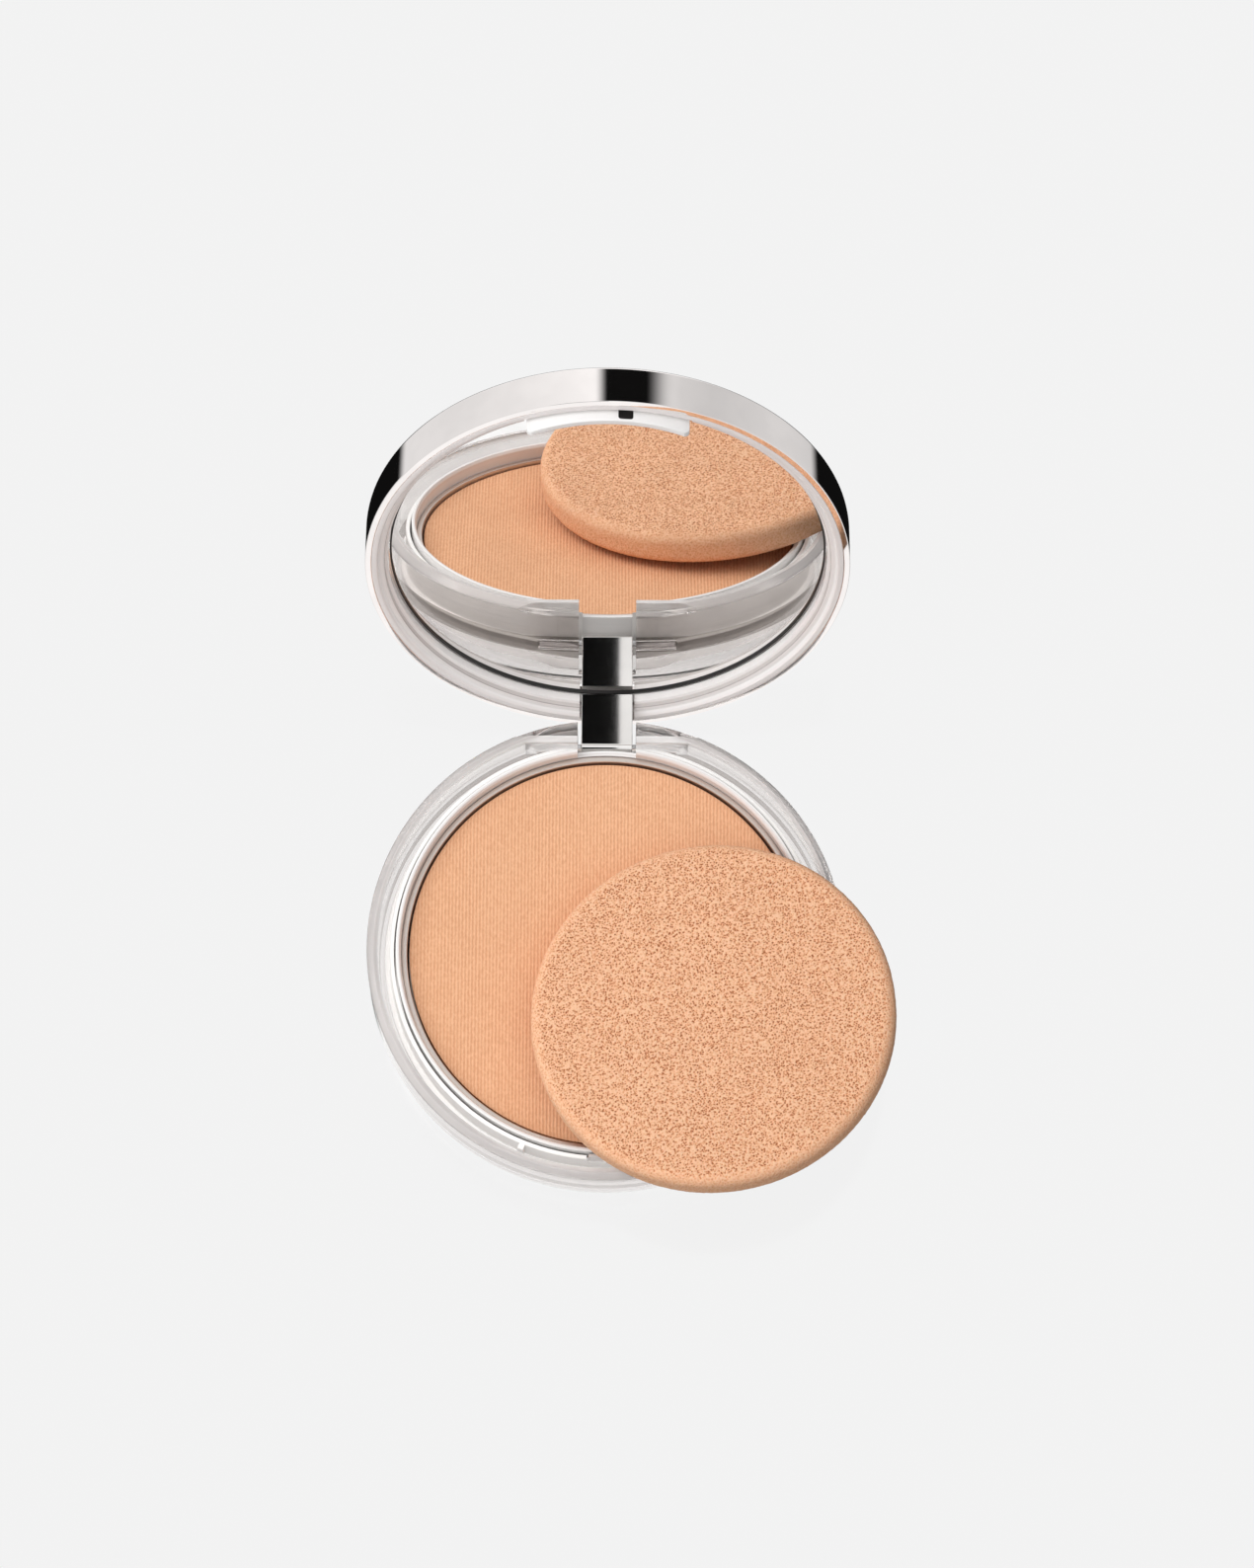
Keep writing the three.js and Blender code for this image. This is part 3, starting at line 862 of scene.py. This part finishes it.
def latch_tongue():
    """The white catch blade, its free corners rounded, with a window sunk in its outer face whose floor is
    painted black as shade.
    """
    inner, outer = 34.8, 35.7
    corners = [
        (inner, TONGUE_LOW.z, 0.2),
        (outer, TONGUE_LOW.z, 0.25),
        (outer, TONGUE_HIGH.z, 0.1),
        (inner, TONGUE_HIGH.z, 0.1),
    ]
    half = TONGUE_HIGH.x
    sweep = math.degrees(math.asin(half / inner)) + 1
    blade = turned("latch_tongue_blade", fillet(corners), -90 - sweep, -90 + sweep, 720)
    corner, rise = 1.2, 0.7
    steps = [corner + (2 * half - 2 * corner) * i / 24 - half for i in range(25)]
    arch = [(x, TONGUE_LOW.z + rise * (1 - (x / half) ** 2)) for x in steps]
    near_left = quarter((corner - half, TONGUE_LOW.z + corner), (corner, corner), 180, 5)[:-1]
    near_right = quarter((half - corner, TONGUE_LOW.z + corner), (corner, corner), 270, 5)[1:]
    around = [*near_left, *arch, *near_right, (half, 30), (-half, 30)]
    combine(blade, panel("outline", around, -40, -25), "INTERSECT")
    bevel_edges(blade, 0.1)
    left, right = WINDOW_X - WINDOW_HALF, WINDOW_X + WINDOW_HALF
    low, high = LID_Z - 1.1, LID_Z + 1.5
    window = [(left, low, 0.5), (right, low, 0.5), (right, high, 0.2), (left, high, 0.2)]
    carve(blade, panel("cut", fillet(window), -40, -35.1))
    lid_piece(blade, WHITE, "lid_plastic", "latch_tongue")
    # The window's floor is painted black: painted shade in the window.
    blade.data.materials.append(GASKET_BLACK_AND_SHADE)
    drawn = blade.data.attributes["drawn"].data
    for face in blade.data.polygons:
        middle = sum((Vector(drawn[v].vector) for v in face.vertices), Vector()) / len(face.vertices)
        sunk = middle.xy.length < outer - 0.02 and middle.y < -35.05
        if abs(middle.x - WINDOW_X) < WINDOW_HALF + 0.01 and low - 0.01 < middle.z < high + 0.01 and sunk:
            face.material_index = 1
    return blade


def panel(name, outline, y0, y1):
    """Extrudes an outline of (x, z) points along Y."""
    bm = bmesh.new()
    near = [bm.verts.new((x * MM, y0 * MM, z * MM)) for x, z in outline]
    far = [bm.verts.new((x * MM, y1 * MM, z * MM)) for x, z in outline]
    bm.faces.new(near)
    bm.faces.new(list(reversed(far)))
    for i in range(len(outline)):
        j = (i + 1) % len(outline)
        bm.faces.new([near[i], near[j], far[j], far[i]])
    return from_bmesh(name, bm)


def bevel_edges(obj, width):
    bm = bmesh.new()
    bm.from_mesh(obj.data)
    sharp = [e for e in bm.edges if not e.smooth]
    bmesh.ops.bevel(bm, geom=sharp, offset=width * MM, segments=3, profile=0.5, affect="EDGES")
    for edge in bm.edges:
        edge.smooth = len(edge.link_faces) == 2 and edge.calc_face_angle(0) < SHARP
    bm.to_mesh(obj.data)
    bm.free()


def hinge_strap():
    front, top = STRAP_LOW.y, STRAP_HIGH.z
    knuckle = HINGE_Y - front
    arc = [
        (
            HINGE_Y + knuckle * math.cos(math.pi + math.pi * i / 16),
            HINGE_Z + knuckle * math.sin(math.pi + math.pi * i / 16),
        )
        for i in range(17)
    ]
    back = [(37.5, HINGE_Z + 1.8), (37.5, RIM_Z - 0.2), (36.7, RIM_Z + 0.1), (36.7, top)]
    outline = [(front, top), *arc, *back]
    strap = bar_along_x("hinge_strap_chrome", outline, STRAP_LOW.x, STRAP_HIGH.x, 0.15)
    carve(strap, rod("cut", 0.9, STRAP_LOW.x - 1, STRAP_HIGH.x + 1))
    return lid_piece(strap, STRAP, "plated_chrome", "hinge_strap")


# ---- Sponge ----


def disc_frame(node):
    """The centre and turn of a flat round node, with Z along its axis, and its radius and thickness."""
    points = np.array([v.co for v in frame["nodes"][node].data.vertices])
    # A face's vertices sit at a few heights, so the box's middle is truer than their mean.
    _, _, axes = np.linalg.svd(points - points.mean(0), full_matrices=False)
    up = Vector(axes[2] * np.sign(axes[2][2]))
    right = Vector((1, 0, 0))
    right = (right - up * right.dot(up)).normalized()
    turn = Matrix((right, up.cross(right), up)).transposed()
    local = points @ np.array(turn)
    low, high = local.min(0), local.max(0)
    centre = turn @ Vector((low + high) / 2)
    return centre, turn.to_4x4(), (high[0] - low[0]) / 2 / MM, (high[2] - low[2]) / MM


def sponge():
    """A foam disc with rounded edges, a slightly uneven body and an open, pitted skin."""
    centre, turn, radius, thickness = disc_frame("sponge_applicator")
    edge = 1.9
    half = thickness / 2
    flat = [r for r in np.arange(0, radius - edge, 0.3)]
    rounding = quarter((radius - edge, half - edge), (edge, edge), 0, 9)
    outline = [(r, -half) for r in flat]
    outline += [(r, -z) for r, z in reversed(rounding)]
    outline += [(radius, z) for z in np.linspace(-(half - edge), half - edge, 5)[1:-1]]
    outline += rounding
    outline += [(r, half) for r in reversed(flat)]
    pad = turned("foam_sponge", outline, sides=560, angle=math.pi)
    count = len(pad.data.vertices)
    place, normal = np.empty(count * 3), np.empty(count * 3)
    pad.data.vertices.foreach_get("co", place)
    pad.data.vertex_normals.foreach_get("vector", normal)
    place, normal = place.reshape(-1, 3), normal.reshape(-1, 3)
    for i in range(count):
        p = Vector(place[i]) / MM
        dome = 0.12 * (1 - (p.xy.length / radius) ** 2) * math.copysign(1, p.z)
        wave = 0.12 * noise.noise(p * 0.09)
        pit = 0.05 * noise.noise(p * 2.3) + 0.035 * noise.noise(p * 4.1 + Vector((7, 3, 1)))
        place[i] += normal[i] * ((pit + 0.3 * wave) * MM)
        place[i, 2] += (dome + wave - 0.08) * MM
    pad.data.vertices.foreach_set("co", place.ravel())
    pad.data.update()
    remember_drawn(pad)
    pad.data.transform(Matrix.Translation(centre) @ turn)
    finished(pad, "sponge", foam_material(radius, edge), "foam", "sponge_applicator")
    return pad


# ---- Stage ----


def studio_world():
    """White to the eye, a soft overhead gradient to matt surfaces, and dark cards to glossy ones."""
    world = bpy.data.worlds.new("studio")
    bpy.context.scene.world = world
    world.use_nodes = True
    tree = world.node_tree
    tree.nodes.clear()

    def node(kind, inputs=None, **settings):
        made = tree.nodes.new(kind)
        for key, value in settings.items():
            setattr(made, key, value)
        for key, value in (inputs or {}).items():
            if isinstance(value, bpy.types.NodeSocket):
                tree.links.new(value, made.inputs[key])
            else:
                made.inputs[key].default_value = value
        return made

    def ramp01(value, low, high):
        inputs = {"Value": value, "From Min": low, "From Max": high}
        return node("ShaderNodeMapRange", inputs, interpolation_type="SMOOTHSTEP").outputs[0]

    def product(*factors):
        total = factors[0]
        for factor in factors[1:]:
            total = node("ShaderNodeMath", {0: total, 1: factor}, operation="MULTIPLY").outputs[0]
        return total

    def union(*values):
        total = values[0]
        for value in values[1:]:
            total = node("ShaderNodeMath", {0: total, 1: value}, operation="MAXIMUM").outputs[0]
        return total

    direction = node("ShaderNodeTexCoord").outputs["Generated"]
    axes = node("ShaderNodeSeparateXYZ", {"Vector": direction}).outputs
    x, y, z = axes[0], axes[1], axes[2]
    behind = product(
        ramp01(x, -0.085, -0.005),
        ramp01(x, 0.4, 0.22),
        ramp01(y, 0.55, 0.65),
        ramp01(z, 0.14, 0.2),
    )
    above = product(
        ramp01(x, 0.0033, 0.0022),
        ramp01(x, -0.4, -0.3),
        ramp01(z, 0.82, 0.86),
        ramp01(y, -0.05, -0.12),
    )
    below = product(ramp01(z, -0.52, -0.6), ramp01(y, 0.2, 0.26))
    depth = node("ShaderNodeLightPath").outputs["Transmission Depth"]
    direct = node("ShaderNodeMath", {0: depth, 1: 0.5}, operation="LESS_THAN").outputs[0]
    dark = product(union(behind, above, below), direct)
    sideways = node("ShaderNodeMath", {0: x}, operation="ABSOLUTE").outputs[0]
    inputs = {"Value": sideways, "From Min": 0.1, "From Max": 0.75, "To Min": 1.04, "To Max": 0.8}
    fading = node("ShaderNodeMapRange", inputs).outputs[0]
    greyed = product(ramp01(x, 0.3, 0.42), ramp01(x, 0.85, 0.55), 0.24)
    card = node("ShaderNodeMath", {0: fading, 1: greyed}, operation="SUBTRACT").outputs[0]
    glossy = node("ShaderNodeMix", {0: dark, 2: card, 3: 0.005}).outputs[0]
    inputs = {"Value": z, "From Min": -0.2, "From Max": 1, "To Min": 0.3, "To Max": 1.0}
    overhead = node("ShaderNodeMapRange", inputs).outputs[0]
    inputs = {0: direction, 1: (0.75, 0.66, 0)}
    away = node("ShaderNodeVectorMath", inputs, operation="DOT_PRODUCT").outputs["Value"]
    shaded = product(ramp01(away, -0.6, 0.5), ramp01(z, 0.8, 0.2), 0.88)
    open_part = node("ShaderNodeMath", {0: 1, 1: shaded}, operation="SUBTRACT").outputs[0]
    diffuse = product(overhead, open_part)
    path = node("ShaderNodeLightPath").outputs
    matt = node("ShaderNodeMix", {0: path["Is Diffuse Ray"], 2: 0.888, 3: diffuse}).outputs[0]
    level = node("ShaderNodeMix", {0: path["Is Glossy Ray"], 2: matt, 3: glossy}).outputs[0]
    background = node("ShaderNodeBackground", {"Color": (1, 1, 1, 1), "Strength": level})
    output = node("ShaderNodeOutputWorld")
    tree.links.new(background.outputs[0], output.inputs[0])


def studio_floor():
    size = 6
    bm = bmesh.new()
    bmesh.ops.create_grid(bm, x_segments=1, y_segments=1, size=size)
    floor = from_bmesh("studio_floor", bm)
    floor.location.z = -0.05 * MM
    material = bpy.data.materials.new("pale_floor")
    material.use_nodes = True
    tree = material.node_tree
    tree.nodes.clear()
    glow = tree.nodes.new("ShaderNodeEmission")
    glow.inputs["Color"].default_value = (0.888, 0.888, 0.888, 1)
    gloss = tree.nodes.new("ShaderNodeBsdfGlossy")
    gloss.inputs["Color"].default_value = (1, 1, 1, 1)
    gloss.inputs["Roughness"].default_value = 0.12
    mix = tree.nodes.new("ShaderNodeMixShader")
    mix.inputs[0].default_value = 0.02
    output = tree.nodes.new("ShaderNodeOutputMaterial")
    tree.links.new(glow.outputs[0], mix.inputs[1])
    tree.links.new(gloss.outputs[0], mix.inputs[2])
    tree.links.new(mix.outputs[0], output.inputs[0])
    floor.data.materials.append(material)
    floor.visible_diffuse = False
    floor.visible_glossy = False


def softbox():
    data = bpy.data.lights.new("softbox", "AREA")
    data.shape = "RECTANGLE"
    data.size = 0.45
    data.size_y = 0.45
    data.energy = 2.0
    lamp = bpy.data.objects.new("softbox", data)
    lamp.location = (-0.42, 0.02, 0.5)
    aim = Vector((0, 0, 0.01)) - lamp.location
    lamp.rotation_mode = "QUATERNION"
    lamp.rotation_quaternion = aim.to_track_quat("-Z", "Y")
    lamp.visible_glossy = False
    bpy.context.scene.collection.objects.link(lamp)


# ---- Assembly ----
base_shell()
base_deck()
latch_catch()
pan_collar()
powder_pan()
pressed_powder()
base_label()
for side_word in ("left", "right"):
    hinge_pin(side_word)
lid_shell()
mirror_bezel()
mirror_glass()
mirror_gasket()
latch_tongue()
hinge_strap()
sponge()
HIDDEN = {"pan_adhesive": ADHESIVE, "mirror_adhesive": ADHESIVE, "lid_liner": LINER}
for node_name, node_material in HIDDEN.items():
    node_mesh = frame["nodes"][node_name].data
    node_mesh.materials.clear()
    node_mesh.materials.append(node_material)

studio_world()
studio_floor()
softbox()
bpy.context.scene.view_settings.view_transform = "Standard"
cycles = bpy.context.scene.cycles
cycles.max_bounces = 32
cycles.glossy_bounces = 24
cycles.transmission_bounces = 32
